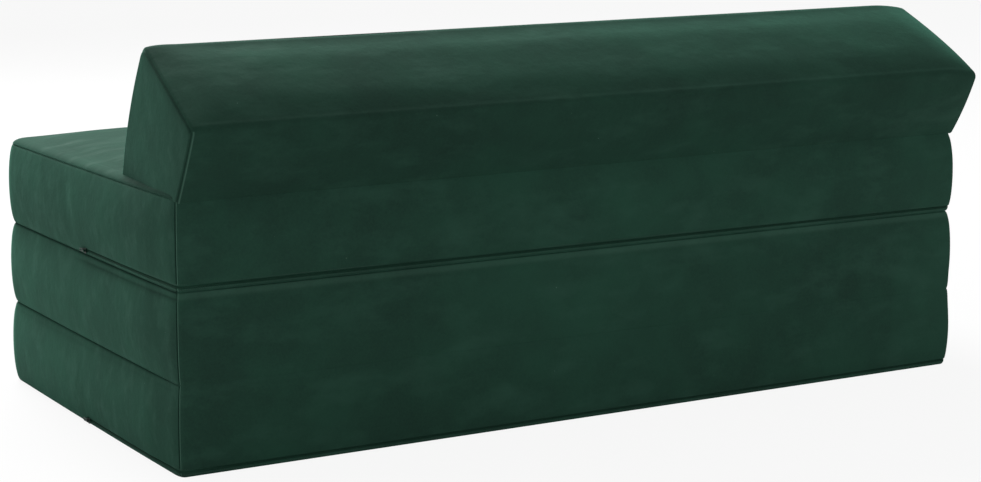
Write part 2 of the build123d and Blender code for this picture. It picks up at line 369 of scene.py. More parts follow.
def stopsBetween(length, fine, coarse, reach):
    # shares of a length, close together at both ends and wide apart between them
    stops = [0.0]
    while stops[-1] < length / 2:
        widening = min(1.0, stops[-1] / reach) ** sewing["stopGrowth"]
        stops.append(stops[-1] + fine + (coarse - fine) * widening)
    half = [0.5 * stop / stops[-1] for stop in stops]
    return half + [1 - share for share in reversed(half[:-1])]


def solveCorner(first, second, firstOut, secondOut):
    # how far a corner moves when its two sides move out along their normals
    cross = first.x * second.y - first.y * second.x
    x = (firstOut * second.y - secondOut * first.y) / cross
    y = (secondOut * first.x - firstOut * second.x) / cross
    return Vector((x, y))


def columnsOf(outline):
    # every upright line of a block: its side, and where it lies on the bend or the run
    columns = []
    corners, bendSteps = outline["corners"], outline["bendSteps"]
    steps = outline["fine"], outline["coarse"], outline["reach"]
    lengths = [(corners[(side + 1) % 4] - corners[side]).length for side in range(4)]
    turns = [0.5 * (step / bendSteps) ** sewing["bendGrowth"] for step in range(bendSteps)]
    for side in range(4):
        length = max(lengths[side], lengths[side - 2])  # opposite sides get as many columns
        columns += [(side, "leave", 0.5 + turn) for turn in turns]
        columns += [(side, "run", share) for share in stopsBetween(length, *steps)]
        columns += [(side, "arrive", 0.5 - turn) for turn in reversed(turns[1:])]
    return columns


def ringOf(outline, outs):
    # points and outward normals of one ring, each side moved out by its own amount
    corners = outline["corners"]
    before, after = outline["bendBefore"], outline["bendAfter"]
    runs = [(corners[(k + 1) % 4] - corners[k]).normalized() for k in range(4)]
    normals = [Vector((run.y, -run.x)) for run in runs]
    shares = outline["cornerShares"]  # of the swell that is left where a side meets each corner
    moved = []
    for k in range(4):
        left, right = outs[k - 1] * shares[k], outs[k] * shares[k]
        moved.append(corners[k] + solveCorner(normals[k - 1], normals[k], left, right))
    ring = []
    for side, zone, share in outline["columns"]:
        ending = (side + 1) % 4
        if zone == "run":
            start = moved[side] + runs[side] * after[side]
            end = moved[ending] - runs[side] * before[ending]
            bulge = outline["swell"][side] * 4 * share * (1 - share)
            length = (end - start).length
            for part, corner in ((share, side), (1 - share, ending)):
                missing = outs[side] * (1 - shares[corner])
                bulge += missing * (smooth(part * length, 0, sewing["cornerEase"]) - part)
            ring.append((start.lerp(end, share) + normals[side] * bulge, normals[side]))
            continue
        corner = side if zone == "leave" else ending
        middle = moved[corner]
        start = middle - runs[corner - 1] * before[corner]
        end = middle + runs[corner] * after[corner]
        point = start * (1 - share) ** 2 + middle * 2 * share * (1 - share) + end * share**2
        along = (middle - start) * (1 - share) + (end - middle) * share
        ring.append((point, Vector((along.y, -along.x)).normalized()))
    return ring


def heightsOf(outline, heights):
    # the height of each column in a row, passing from one side's height to the next at a bend
    levels = []
    for side, zone, share in outline["columns"]:
        if zone == "run":
            levels.append(heights[side])
        else:
            corner = side if zone == "leave" else (side + 1) % 4
            turned = smooth(share)
            levels.append(heights[corner - 1] * (1 - turned) + heights[corner] * turned)
    return levels


def seamDistances(outline):
    # how far each column lies from the corner seams, along the ring
    ring = [point for point, _ in ringOf(outline, (0, 0, 0, 0))]
    count = len(ring)
    starts = [i for i, column in enumerate(outline["columns"]) if column[1:] == ("leave", 0.5)]
    distances = [math.inf] * count
    for start in starts:
        for step in (1, -1):
            travelled, here = 0.0, start
            while travelled < distances[here]:
                distances[here] = travelled
                after = (here + step) % count
                travelled += (ring[after] - ring[here]).length
                here = after
    return distances


def sharesAlong(points):
    total, reached = 0.0, [0.0]
    for before, after in zip(points, points[1:]):
        total += (after - before).length
        reached.append(total)
    return [value / total for value in reached]


def bandFaces(count, rings):
    # the faces between rings of equally many points
    faces = []
    for low in range(0, (rings - 1) * count, count):
        for index in range(count):
            after, high = (index + 1) % count, low + count
            faces.append((low + index, low + after, high + after, high + index))
    return faces


def sidesOf(ring, counts):
    # front and rear of a ring from left to right, its left and right side from front to rear
    turns = [sum(counts[:side]) for side in range(5)]
    front, right, rear, left = [
        (ring + ring[:1])[start : end + 1] for start, end in zip(turns, turns[1:])
    ]
    return front, right, rear[::-1], left[::-1]


def fillCap(ring, counts):
    # an inner grid between the four sides of a ring, row by row: shares and point of each place
    front, right, rear, left = sidesOf(ring, counts)
    across, along = sharesAlong(front), sharesAlong(right)
    places = []
    for j in range(1, counts[1]):
        v = along[j]
        for i in range(1, counts[0]):
            u = across[i]
            sides = left[j] * (1 - u) + right[j] * u + front[i] * (1 - v) + rear[i] * v
            near = (front[0] * (1 - u) + front[-1] * u) * (1 - v)
            far = (rear[0] * (1 - u) + rear[-1] * u) * v
            places.append((u, v, sides - (near + far)))
    return places


layouts = {}  # of each cover: its columns and how many rings it has


def upholster(name, outline, rows, sink, lifts, place):
    # a closed cover: rings of columns for its sides and a crowned grid at each end
    columns = outline["columns"] = columnsOf(outline)
    seams = seamDistances(outline)
    count = len(columns)
    counts = [sum(1 for column in columns if column[0] == side) for side in range(4)]
    points, marks, flat = [], [], []
    for outs, heights in rows:
        levels = heightsOf(outline, heights)
        flatRing = []
        for index, (point, normal) in enumerate(ringOf(outline, outs)):
            depth, *mark = sink(columns[index], seams[index], levels[index], point)
            point = point - normal * depth
            flatRing.append(Vector((point.x, point.y, levels[index])))
            marks.append(mark)
        points += flatRing
        flat.append(flatRing)
    faces = bandFaces(count, len(rows))
    for ring, base, lift, upper in (
        (flat[0], 0, lifts[0], False),
        (flat[-1], (len(rows) - 1) * count, lifts[1], True),
    ):
        start = len(points)
        for across, along, point in fillCap(ring, counts):
            rise, loose, shade = lift(across, along, point)
            points.append(Vector((point.x, point.y, point.z + rise)))
            marks.append((shade, 0.0, loose))
        front, right, rear, left = sidesOf(list(range(base, base + count)), counts)
        grid = [front]
        for j in range(1, counts[1]):
            grid.append([left[j], *range(start, start + counts[0] - 1), right[j]])
            start += counts[0] - 1
        for near, far in zip(grid, [*grid[1:], rear]):
            for i in range(counts[0]):
                quad = (near[i], near[i + 1], far[i + 1], far[i])
                faces.append(quad if upper else quad[::-1])
    piece = pieceOf(name, finishes["velvet"], [place(point) for point in points], faces)
    # each point's painted shade, painted highlight and looseness
    for title, values in zip(("paintedShadeAndNap", "paintedHighlight", "loose"), zip(*marks)):
        attribute = piece.data.attributes.new(title, "FLOAT", "POINT")
        attribute.data.foreach_set("value", values)
    piece.data.shade_smooth()
    layouts[name] = (columns, len(rows))
    return piece


def beside(distance, reach):
    # 1 on a line, 0 from a reach away
    return max(0.0, 1 - abs(distance) / reach)


def groove(distance, width, depth):
    # a sewn seam: both cloths roll in over its width and meet at the bottom
    reach = abs(distance) / width
    if reach >= 1:
        return 0.0
    return depth * (1 - math.sqrt(1 - (1 - reach) ** 2))


def unsettle(piece, broad, seed):
    # the slight unevenness of foam under cloth, where the cloth is loose
    mesh = piece.data
    waves = [(scale, share * broad) for scale, share in sewing["waves"]]
    waves += sewing["ripples"]
    moved = []
    for vertex, loose in zip(mesh.vertices, mesh.attributes["loose"].data):
        place = vertex.co + Vector((seed, 0, 0))
        rise = sum(noise.noise(place * scale) * size for scale, size in waves)
        moved.append(vertex.co + vertex.normal * loose.value * rise)
    for vertex, place in zip(mesh.vertices, moved):
        vertex.co = place
    mesh.update()
    mesh.set_sharp_from_angle(angle=sewing["crease"])


def rowsThinned(rows, step):
    # only the rows of a profile that lie at least a step apart
    def spot(row):
        return Vector((row[0][1], row[1][1]))

    kept = [rows[0]]
    for row in rows[1:-1]:
        if all((spot(row) - spot(other)).length >= step for other in (kept[-1], rows[-1])):
            kept.append(row)
    return kept + [rows[-1]]


def sewn(name, outline, rows, sink, lifts, place):
    # a cover and, for the cloth simulation, its coarse copy without seams or slots
    def plain(*spot):
        return 0.0, 0.0, 0.0, sink(*spot)[3]

    piece = upholster(name, outline(), rows, sink, lifts, place)
    wide = {**outline(), **sewing["cage"]}
    thin = rowsThinned(rows, sag["rowStep"])
    covers.append((piece, upholster(name + "_cage", wide, thin, plain, lifts, place)))
    return piece


def holdBack(piece, plane, facing):
    # a swollen side eases off just before the plane of its fold, where the next section meets it
    ease, clear = sofa["foldEase"], sofa["foldClear"]
    for vertex in piece.data.vertices:
        over = facing * (vertex.co.y - plane) + ease + clear
        if over > 0:
            vertex.co.y = plane + facing * (-clear - ease * math.exp(-over / ease))
    piece.data.update()


def joinRear(lower, upper):
    # the rear cloth runs unbroken over the fold: the two edges meet and ease into both covers
    columns, rowCount = layouts[lower.name]
    count = len(columns)
    low, high = lower.data.vertices, upper.data.vertices
    for index, column in enumerate(columns):
        if column[0] != 2:
            continue
        edge = low[(rowCount - 1) * count + index].co.copy()
        other = high[index].co.copy()
        meeting = (edge + other) / 2
        meeting.z = rearFold.z
        for vertices, start in ((low, edge), (high, other)):
            for row in range(rowCount):
                vertex = vertices[row * count + index]
                away = smooth(abs(vertex.co.z - rearFold.z), 0, sofa["foldReach"])
                vertex.co += (meeting - start) * (1 - away)
    lower.data.update()
    upper.data.update()


sag = {
    "settings": {
        "quality": 6,
        "mass": 0.3,
        "tension_stiffness": 12,
        "compression_stiffness": 12,
        "bending_stiffness": 0.4,
        "use_pressure": True,
        "uniform_pressure_force": 4.0,
        "shrink_min": -0.0015,  # the cloth is cut this share larger than the foam
        "vertex_group_mass": "pins",
    },
    "frames": 20,
    "most": 5 * mm,  # no point moves further than this
    "spread": 15 * mm,
    "reach": 2.2,  # times the spread, from which shifts are still gathered
    "give": 1.6,  # how soon loose cloth follows in full
    "least": 0.01,  # what is less loose than this stays where it is
    "rowStep": 11 * mm,
}


def pinned(cage):
    # the copy becomes cloth, held where the cover isn't loose
    pins = cage.vertex_groups.new(name="pins")
    for vertex, loose in zip(cage.data.vertices, cage.data.attributes["loose"].data):
        pins.add([vertex.index], 1 - min(1.0, loose.value), "REPLACE")
    cloth = cage.modifiers.new("cloth", "CLOTH")
    for setting, value in sag["settings"].items():
        setattr(cloth.settings, setting, value)
    cloth.settings.effector_weights.gravity = 0
    cloth.collision_settings.use_collision = False
    cloth.point_cache.frame_start = 1
    cloth.point_cache.frame_end = sag["frames"]


def carryOver(piece, shifts, tree):
    # each loose point takes the mean shift of the copy's points round it
    moved = []
    for vertex, loose in zip(piece.data.vertices, piece.data.attributes["loose"].data):
        total, push = 0.0, Vector((0, 0, 0))
        if loose.value >= sag["least"]:
            for _, index, distance in tree.find_range(vertex.co, sag["reach"] * sag["spread"]):
                share = math.exp(-((distance / sag["spread"]) ** 2))
                total += share
                push += shifts[index] * share
        give = min(1.0, sag["give"] * loose.value) / max(total, 1e-6)
        moved.append(vertex.co + push * give)
    for vertex, place in zip(piece.data.vertices, moved):
        vertex.co = place
    piece.data.update()


def inflate(covers):
    # cloth simulation on a coarse copy of each cover, carried over to the fine one
    scene = bpy.context.scene
    for _, cage in covers:
        pinned(cage)
    for frameNumber in range(1, sag["frames"] + 1):
        scene.frame_set(frameNumber)
    graph = bpy.context.evaluated_depsgraph_get()
    for piece, cage in covers:
        swollen = cage.evaluated_get(graph).data.vertices
        shifts = []
        tree = kdtree.KDTree(len(swollen))
        for index, vertex in enumerate(cage.data.vertices):
            shift = swollen[index].co - vertex.co
            if shift.length > sag["most"]:
                shift = shift.normalized() * sag["most"]
            shifts.append(shift)
            tree.insert(vertex.co, index)
        tree.balance()
        lengths = [shift.length / mm for shift in shifts]
        mean = sum(lengths) / len(lengths)
        print(f"{piece.name}: cloth moved {max(lengths):.1f} mm at most, {mean:.1f} mm on average")
        carryOver(piece, shifts, tree)
        mesh = cage.data
        bpy.data.objects.remove(cage)
        bpy.data.meshes.remove(mesh)
    scene.frame_set(1)


cover = {
    "bow": 8 * mm,
    "alongSwell": 1.5 * mm,
    "endBend": 26 * mm,  # how far from its seam a corner starts to turn, on the ends
    "frontBend": 14 * mm,
    "rearBend": 9 * mm,
    "steps": {"fine": 1.0 * mm, "coarse": 13 * mm, "reach": 60 * mm, "bendSteps": 9},
    "rowSteps": (0.8 * mm, 8 * mm, 24 * mm),
    "rearCornerShare": 0.3,  # of the bow that is left at the rear corner of the right end
    "seamWidth": 3.0 * mm,
    "seamDepth": 2.6 * mm,
    # painted shade in the groove of each upright corner seam
    "seamGrooveShade": 0.6,
    "rimDepth": 1.1 * mm,
    # painted shade along the rim seam of the seat
    "rimShade": 0.15,
    "rimReach": 1 * mm,
    "wallEase": 2 * mm,  # the seams of a wall begin over this height from its edges
    "bandHeight": 10 * mm,  # from the edge of a section to the seam of its top panel
    "bandWidth": 7.8 * mm,
    # painted shade in the pressed band below a section's top edge
    "bandShade": 0.4,
    "bandReach": 4 * mm,
    "bandFull": 2 * mm,  # pressed this deep it has its full tone
    # painted highlight on the rear, between the band and the top edge
    "bandGlint": 0.1,
    "bandGlintReach": (-3 * mm, 4 * mm),
    "softReach": (-70 * mm, 30 * mm),  # from the start of the zip, where the soft fold begins
    "softRest": 0.1,  # of the soft fold on the front and across the rear
    "slotLow": 6.5 * mm,
    "slotHigh": 8.5 * mm,
    "slotEase": 0.6 * mm,
    "slotDepth": 2.2 * mm,
    # painted shade in the slot over a zip, fainter across the rear
    "slotPaintedShade": 0.7,
    "rearSlotPaintedShade": 0.1,  # across the rear the slot lies nearly closed
    "zipEase": 3 * mm,
    # painted shade along the edges where one section meets the next
    "creaseShade": 0.85,  # where the seat lies on the middle section
    "foldShade": 0.45,
    "creaseReach": 3.0 * mm,
    # painted highlight on the rolled lip beside the rear corner seams, on the rear
    "lipGlint": 0.55,
    "lipAway": 2.0 * mm,
    "lipWidth": 1.3 * mm,
    # painted shade on the ends beside the rear corner seams, partly the nap lying dark there
    "edgeNapAndShade": 0.6,
    "edgeReach": (2 * mm, 58 * mm),
    "looseReach": 22 * mm,
    "hollow": 1.4 * mm,
    "hollowReach": (9 * mm, 15 * mm),
}


def planOutline():
    wide, rear, front = sofa["halfWidth"], sofa["rearSeam"], sofa["frontSeam"]
    endBend, frontBend, rearBend = cover["endBend"], cover["frontBend"], cover["rearBend"]
    corners = ((-wide, front), (wide, front), (wide, rear), (-wide, rear))
    return {
        "corners": [Vector(corner) for corner in corners],
        "bendBefore": [endBend, frontBend, endBend, rearBend],
        "bendAfter": [frontBend, endBend, rearBend, endBend],
        "swell": [cover["alongSwell"]] * 2 + [0.0, cover["alongSwell"]],
        "cornerShares": (1.0, 1.0, cover["rearCornerShare"], 1.0),
        **cover["steps"],
    }


def ellipseOut(level, height, fold):
    # how far a side stands out at a level; at a fold it is fullest, else it draws in
    share = level / height
    away = {"top": 1 - share, "bottom": share, None: 2 * share - 1}[fold]
    return cover["bow"] * math.sqrt(max(0.0, 1 - away**2))


def sectionRows(bottom, height, fold):
    # at the fold the rear reaches the fold line itself, where two sections share one cloth
    rows = []
    extra = sofa["foldGap"] / 2 if fold else 0.0
    drop = extra if fold == "bottom" else 0.0
    for share in stopsBetween(height, *cover["rowSteps"]):
        level = share * height
        side, rear = ellipseOut(level, height, None), ellipseOut(level, height, fold)
        ends, rearLevel = bottom + level, bottom - drop + share * (height + extra)
        rows.append(((side, side, rear, side), (ends, ends, rearLevel, ends)))
    return rows


def looseness(column, seam, above, below, fold):
    # 0 at a seam and where the cloth lies on another section, 1 in the middle of a panel
    loose = smooth(seam, 0, cover["looseReach"])
    for edge, distance in (("bottom", above), ("top", below)):
        if column[0] != 2 or fold != edge:
            loose *= smooth(distance, 0, cover["looseReach"])
    return loose


zipStart = 0.5 * (sofa["rearSeam"] + sofa["frontSeam"])


def zipSlot(column, above, point):
    # depth and shade of the slot over a zip: on the rear half of each end and across the rear
    if column[0] == 0:
        return 0.0, 0.0
    low, high, ease = cover["slotLow"], cover["slotHigh"], cover["slotEase"]
    slot = smooth(above, low - ease, low) * (1 - smooth(above, high, high + ease))
    if column[0] != 2:
        slot *= smooth(point.y, zipStart - cover["zipEase"], zipStart)
    return cover["slotDepth"] * slot, cover["rearSlotPaintedShade" if column[0] == 2 else "slotPaintedShade"] * slot


def cornerSeam(seam, inWall):
    # depth and shade of the upright seam at a corner
    dark = beside(seam, 0.5 * cover["seamWidth"])
    depth = groove(seam, cover["seamWidth"], cover["seamDepth"])
    return depth * inWall, cover["seamGrooveShade"] * dark * inWall


def nearEdge(distance):
    return 1 - smooth(distance, 0, cover["creaseReach"])


def besideSeam(column, seam, point):
    # painted shade beside the rear corner seams on the ends, partly the nap lying dark there, and a
    # painted highlight on the rolled lip beside them on the rear
    if column[0] == 2:
        return 0.0, cover["lipGlint"] * beside(seam - cover["lipAway"], cover["lipWidth"])
    if column[0] == 0 or point.y < zipStart:
        return 0.0, 0.0
    return cover["edgeNapAndShade"] * (1 - smooth(seam, *cover["edgeReach"])), 0.0


def sectionSink(bottom, height, fold, bandDepth):
    def sink(column, seam, level, point):
        side, above = column[0], level - bottom
        below = height - above
        inWall = smooth(above, 0, cover["wallEase"]) * smooth(below, 0, cover["wallEase"])
        depth, shade = cornerSeam(seam, inWall)
        darker, glint = besideSeam(column, seam, point)
        shade = max(shade, darker)
        if side != 2 or fold != "top":
            band, pressed = below - cover["bandHeight"], bandDepth
            if fold == "bottom":
                # a soft fold on the ends, below the zip only
                soft = smooth(point.y - zipStart, *cover["softReach"])
                pressed *= soft if side in (1, 3) else cover["softRest"]
            depth += groove(band, cover["bandWidth"], pressed)
            # painted shade in the pressed band; on the rear a painted highlight above it
            dark = cover["bandShade"] * beside(band, cover["bandReach"])
            shade = max(shade, dark * pressed / cover["bandFull"])
            if side == 2:
                glint = max(glint, cover["bandGlint"] * smooth(-band, *cover["bandGlintReach"]))
        # painted shade along the edges where the sections meet
        if side != 2:
            low = cover["foldShade"] if fold == "bottom" else 0.0
            high = cover["creaseShade"] if fold == "bottom" else cover["foldShade"]
            shade = max(shade, nearEdge(above) * low, nearEdge(below) * high)
        if fold == "top":
            # only the base section has a zip
            slotDepth, slotShade = zipSlot(column, above, point)
            depth, shade = max(depth, slotDepth), max(shade, slotShade)
        loose = looseness(column, seam, above, below, fold)
        return depth, min(1.0, shade), glint * inWall, loose

    return sink


def flatLift(across, along, point):
    return 0.0, 0.0, 0.0


def asIs(point):
    return point


def hollowLift(across, along, point):
    # the underside draws up inside its border, where its own cloth is sewn on
    ends = sofa["halfWidth"] - abs(point.x)
    inset = min(ends, sofa["rearSeam"] - point.y, point.y - sofa["frontSeam"])
    return cover["hollow"] * smooth(inset, *cover["hollowReach"]), 0.0, 0.0


def section(name, bottom, height, fold, bandDepth):
    sink = sectionSink(bottom, height, fold, bandDepth)
    lifts = (hollowLift if bottom == 0 else flatLift, flatLift)
    return sewn(name, planOutline, sectionRows(bottom, height, fold), sink, lifts, asIs)


height = sofa["sectionHeight"]
gap = sofa["foldGap"]
wallHeight = height - gap / 2
seatBottom = 2 * height + gap / 2
covers = []
baseCover = section("base_cover", 0.0, wallHeight, "top", 0.6 * mm)
middleCover = section("middle_cover", height + gap / 2, height - gap, "bottom", 2.6 * mm)
print("base and middle covers sewn")

seat = {
    "roll": 17 * mm,  # how far in the top panel rolls over its rim
    "rollStart": 2.2 * mm,  # below the top of the wall
    "rollSteps": 16,
    "rise": 8 * mm,
    "crownAlong": 3 * mm,
    "crownAcross": 4 * mm,
    "crownCurve": 2.2,
    "crownEnds": (6, 8),  # how late each crown falls off towards its ends
    "frontSwell": 5.3 * mm,  # the rim stands higher away from the front corners
    "frontReach": 190 * mm,
    # painted shade on the roll of the top panel over its rim
    "rollShade": 0.3,
    "rollShadeReach": (3.2 * mm, 8.8 * mm),
    # painted shade over the whole top panel
    "topShade": 0.1,
    "edgeShare": 0.45,  # of the shade beside the rear corner seams
    # painted shadow of the backrest on the seat's rim
    "backShadow": 0.6,  # beside the backrest, which shades the rim
    "backShadowReach": (-15 * mm, 10 * mm),
    "underBack": sofa["rearSeam"] - 200 * mm,  # behind this the backrest holds the top down
    "backEase": 60 * mm,
    "looseEase": 40 * mm,
    "looseShares": (0.03, 0.06),  # of its length and depth, from which the top is loose
}


def seatRows():
    top = seatBottom + wallHeight
    rows = sectionRows(seatBottom, wallHeight, None)
    kept = [row for row in rows if row[1][0] < top - seat["rollStart"]]
    start, low = kept[-1][0][0], kept[-1][1][0]
    rise = top + seat["rise"] - low
    for step in range(1, seat["rollSteps"] + 1):
        turn = 0.5 * math.pi * step / seat["rollSteps"]
        out = start - seat["roll"] * (1 - math.cos(turn))
        kept.append(((out,) * 4, (low + rise * math.sin(turn),) * 4))
    return kept, low


def seatSink(seamLevel):
    def sink(column, seam, level, point):
        above, rim = level - seatBottom, level - seamLevel
        inWall = 1 - smooth(rim, -cover["rimReach"], cover["rimReach"])
        inWall *= smooth(above, 0, cover["wallEase"])
        depth, shade = cornerSeam(seam, inWall)
        darker, glint = besideSeam(column, seam, point)
        shade = max(shade, seat["edgeShare"] * darker * inWall)
        if column[0] != 2:
            # along the rear the backrest covers the rim
            depth += groove(rim, cover["seamWidth"], cover["rimDepth"])
            # painted shade in the rim seam and in the crease over the middle section
            dark = cover["rimShade"] * beside(rim, cover["rimReach"])
            shade = max(shade, dark, nearEdge(above) * cover["creaseShade"])
        # painted shade on the roll over the rim, and a painted shadow beside the backrest
        if column[0] != 2 and rim > 0:
            rolled = 1 - smooth(rim, *seat["rollShadeReach"])
            behind = smooth(point.y - seat["underBack"], *seat["backShadowReach"])
            behind *= smooth(rim, 0, cover["wallEase"])
            shade = max(shade, seat["rollShade"] * rolled, seat["backShadow"] * behind)
        slotDepth, slotShade = zipSlot(column, above, point)
        loose = looseness(column, seam, above, abs(rim), None)
        return max(depth, slotDepth), min(1.0, max(shade, slotShade)), glint * inWall, loose

    return sink


def seatLift(across, along, point):
    u, v = abs(2 * across - 1), abs(2 * along - 1)
    curve, (lateAlong, lateAcross) = seat["crownCurve"], seat["crownEnds"]
    crown = seat["crownAlong"] * (1 - u**curve) * (1 - v**lateAlong)
    crown += seat["crownAcross"] * (1 - v**curve) * (1 - u**lateAcross)
    loose = 1 - smooth(point.y, seat["underBack"] - seat["looseEase"], seat["underBack"])
    for share, edge in zip((across, along), seat["looseShares"]):
        loose *= smooth(min(share, 1 - share), 0, edge)
    # painted shade over the whole top
    return crown, loose, seat["topShade"]


def sewSeat():
    rows, seamLevel = seatRows()

    def swollen(point):
        raised = smooth(point.z, seamLevel, seamLevel + seat["rise"])
        raised *= smooth(sofa["halfWidth"] - abs(point.x), 0, seat["frontReach"])
        raised *= 1 - smooth(point.y, seat["underBack"] - seat["backEase"], seat["underBack"])
        return Vector((point.x, point.y, point.z + seat["frontSwell"] * raised))

    lifts = (flatLift, seatLift)
    return sewn("seat_cover", planOutline, rows, seatSink(seamLevel), lifts, swollen)


seatCover = sewSeat()
print("seat cover sewn")

back = {
    "lean": math.radians(29),
    "frontLean": math.radians(25),
    "rearRise": 119 * mm,
    "thickness": 217 * mm,
    "halfLength": 697 * mm,
    "bendBefore": (12 * mm, 4 * mm, 11 * mm, 21 * mm),
    "bendAfter": (12 * mm, 5 * mm, 13 * mm, 21 * mm),
    "swell": (0.0, 2 * mm, 3 * mm, 6 * mm),
    "steps": {"fine": 2.0 * mm, "coarse": 9 * mm, "reach": 40 * mm, "bendSteps": 8},
    "wallSteps": (2 * mm, 13 * mm, 90 * mm),
    "rollSteps": 14,
    "rearFlare": 5 * mm,  # how much further each end reaches at the rear than at the front
    "flareReach": (-0.25, 0.9),  # of the thickness, from the rear
    "tilt": 4.0 * mm,  # the left end stands this much higher, the right end lower
    "fullness": (0.0, 1.0 * mm, 4.8 * mm, 1.5 * mm),  # of each side between the ends
    "fillReach": 34 * mm,
    "leftShort": 7 * mm,  # by how much the left end is shorter in front
    "shortReach": (-0.35, 0.6),
    "leftDrop": 5.5 * mm,  # and how far its top edge gives way
    "dropReach": 70 * mm,
    "behind": 2 * mm,
    "aside": -5 * mm,  # it is sewn on a little nearer to the left end
    "dome": 5 * mm,
    "sunk": 4 * mm,
    "seamRoll": 6 * mm,
    "seamTurn": math.radians(42),  # where on the roll of its edge the seam lies
    "seamWidth": 3.0 * mm,
    "seamDepth": 3.0 * mm,
    # painted shade in the seam grooves round each end, fainter along the top
    "seamGrooveShade": 0.7,
    "topSeamGrooveShade": 0.35,
    "seamReach": 1.0 * mm,
    # painted highlight on the rolled lip beside the end seams, on the rear
    "lipGlint": 0.34,
    "lipAway": 1.9 * mm,
    "lipWidth": 1.1 * mm,
    # painted shade over the rear panel, partly its nap lying another way
    "rearNapAndShade": 0.22,
    # painted shade where the top rounds over each ridge
    "ridges": ((3, 0.42), (2, 0.24)),  # corner and tone of the front and of the rear one
    "ridgeReach": (12 * mm, 62 * mm),
    # painted shade over the end panels, and a painted shadow where they roll under the top seam
    "endShade": 0.12,
    "underShade": 0.3,
    "underReach": 20 * mm,
    "looseAbove": (8 * mm, 40 * mm),  # the heights over the seat where the cloth comes loose
    "looseReach": 30 * mm,
    "endLoose": 0.5,
    "endReach": 0.25,
}


def leaning(angle):
    return Vector((math.sin(angle), math.cos(angle)))


def backOutline():
    up, frontUp = leaning(back["lean"]), leaning(back["frontLean"])
    foot = Vector((sofa["rearSeam"] + back["behind"], 3 * height))
    rearRidge = foot + up * back["rearRise"]
    frontRidge = rearRidge + Vector((-up.y, up.x)) * back["thickness"]
    drop = frontRidge.y - foot.y + back["sunk"]
    frontFoot = frontRidge - frontUp * drop / math.cos(back["frontLean"])
    rearFoot = foot - up * back["sunk"] / math.cos(back["lean"])
    return {
        "corners": [frontFoot, rearFoot, rearRidge, frontRidge],
        "cornerShares": (1.0, 1.0, 1.0, 1.0),
        **{key: back[key] for key in ("bendBefore", "bendAfter", "swell")},
        **back["steps"],
    }


def backRows():
    # rings from the left end to the right: a rolled edge, the length between and the other edge
    roll, half = back["seamRoll"], back["halfLength"]
    flatHalf = half - roll
    turns = [0.5 * math.pi * step / back["rollSteps"] for step in range(1, back["rollSteps"] + 1)]
    ends = [(-roll * (1 - math.cos(turn)), flatHalf + roll * math.sin(turn)) for turn in turns]
    walls = [(2 * share - 1) * flatHalf for share in stopsBetween(2 * flatHalf, *back["wallSteps"])]
    profile = [(out, -x) for out, x in reversed(ends)] + [(0.0, x) for x in walls] + ends
    rows = []
    for out, x in profile:
        nearEnd = 1 - min(1.0, (half - abs(x)) / back["fillReach"])
        filled = math.sqrt(1 - nearEnd * nearEnd)
        outs = [out + filled * full for full in back["fullness"]]
        if x < 0:
            outs[2] -= back["leftDrop"] * (1 - smooth(half - abs(x), 0, back["dropReach"]))
        rows.append((outs, (x,) * 4))
    return rows, flatHalf + roll * math.sin(back["seamTurn"])


def sewBack():
    corners = backOutline()["corners"]
    centre = sum(corners, Vector((0, 0))) / 4
    reach = max((corner - centre).length for corner in corners)
    rows, seamAt = backRows()
    top = (corners[3] - corners[2]).normalized()
    topAcross = Vector((top.y, -top.x))

    def aboveSeat(point):
        return smooth(point.y - 3 * height, *back["looseAbove"])

    def sink(column, seam, level, point):
        inner = seamAt - abs(level)
        # painted shade in the seam groove
        shade = back["topSeamGrooveShade" if column[0] == 2 else "seamGrooveShade"]
        shade *= beside(inner, back["seamReach"])
        loose = aboveSeat(point) * smooth(abs(inner), 0, cover["looseReach"])
        loose *= smooth(seam, 0, back["looseReach"])
        glint = 0.0
        if column[0] in (2, 3):
            # painted shade where the top rounds over its two ridges
            for corner, tone in back["ridges"]:
                near = 1 - smooth((corners[corner] - point).length, *back["ridgeReach"])
                shade = max(shade, tone * near)
        # painted shade over the rear, partly its nap, and a painted highlight on the lip beside
        # each seam
        if column[0] == 1:
            shade = max(shade, back["rearNapAndShade"])
            glint = back["lipGlint"] * beside(inner - back["lipAway"], back["lipWidth"])
        # beyond its seam the top rolls under: painted shade and painted shadow there
        elif column[0] == 2 and inner < 0:
            shade = back["endShade"] + back["underShade"]
        elif inner < 0:
            shade = max(shade, back["endShade"])
        return groove(inner, back["seamWidth"], back["seamDepth"]), shade, glint, loose

    def endLift(across, along, point):
        # the end panel is loose inside its seam; it carries painted shade, and a painted shadow
        # where it rolls under the seam at the top
        inside = smooth(min(across, 1 - across, along, 1 - along), 0, back["endReach"])
        under = (corners[2] - point.xy).dot(topAcross)
        shade = back["endShade"] + back["underShade"] * (1 - smooth(under, 0, back["underReach"]))
        return 0.0, back["endLoose"] * aboveSeat(point) * inside, shade

    def domed(point):
        # local point: Y, Z of the outline, and X along the sofa
        away = (point.xy - centre).length / reach
        forward = (corners[1].x - point.x) / back["thickness"]
        widened = back["dome"] * max(0.0, 1 - away * away)
        widened += back["rearFlare"] * (1 - smooth(forward, *back["flareReach"]))
        if point.z < 0:
            widened -= back["leftShort"] * smooth(forward, *back["shortReach"])
        x = point.z * (1 + widened / back["halfLength"]) + back["aside"]
        return Vector((x, point.x, point.y - back["tilt"] * x / back["halfLength"]))

    return sewn("backrest_cover", backOutline, rows, sink, (endLift, endLift), domed)


backCover = sewBack()
print("backrest cover sewn")

inflate(covers)
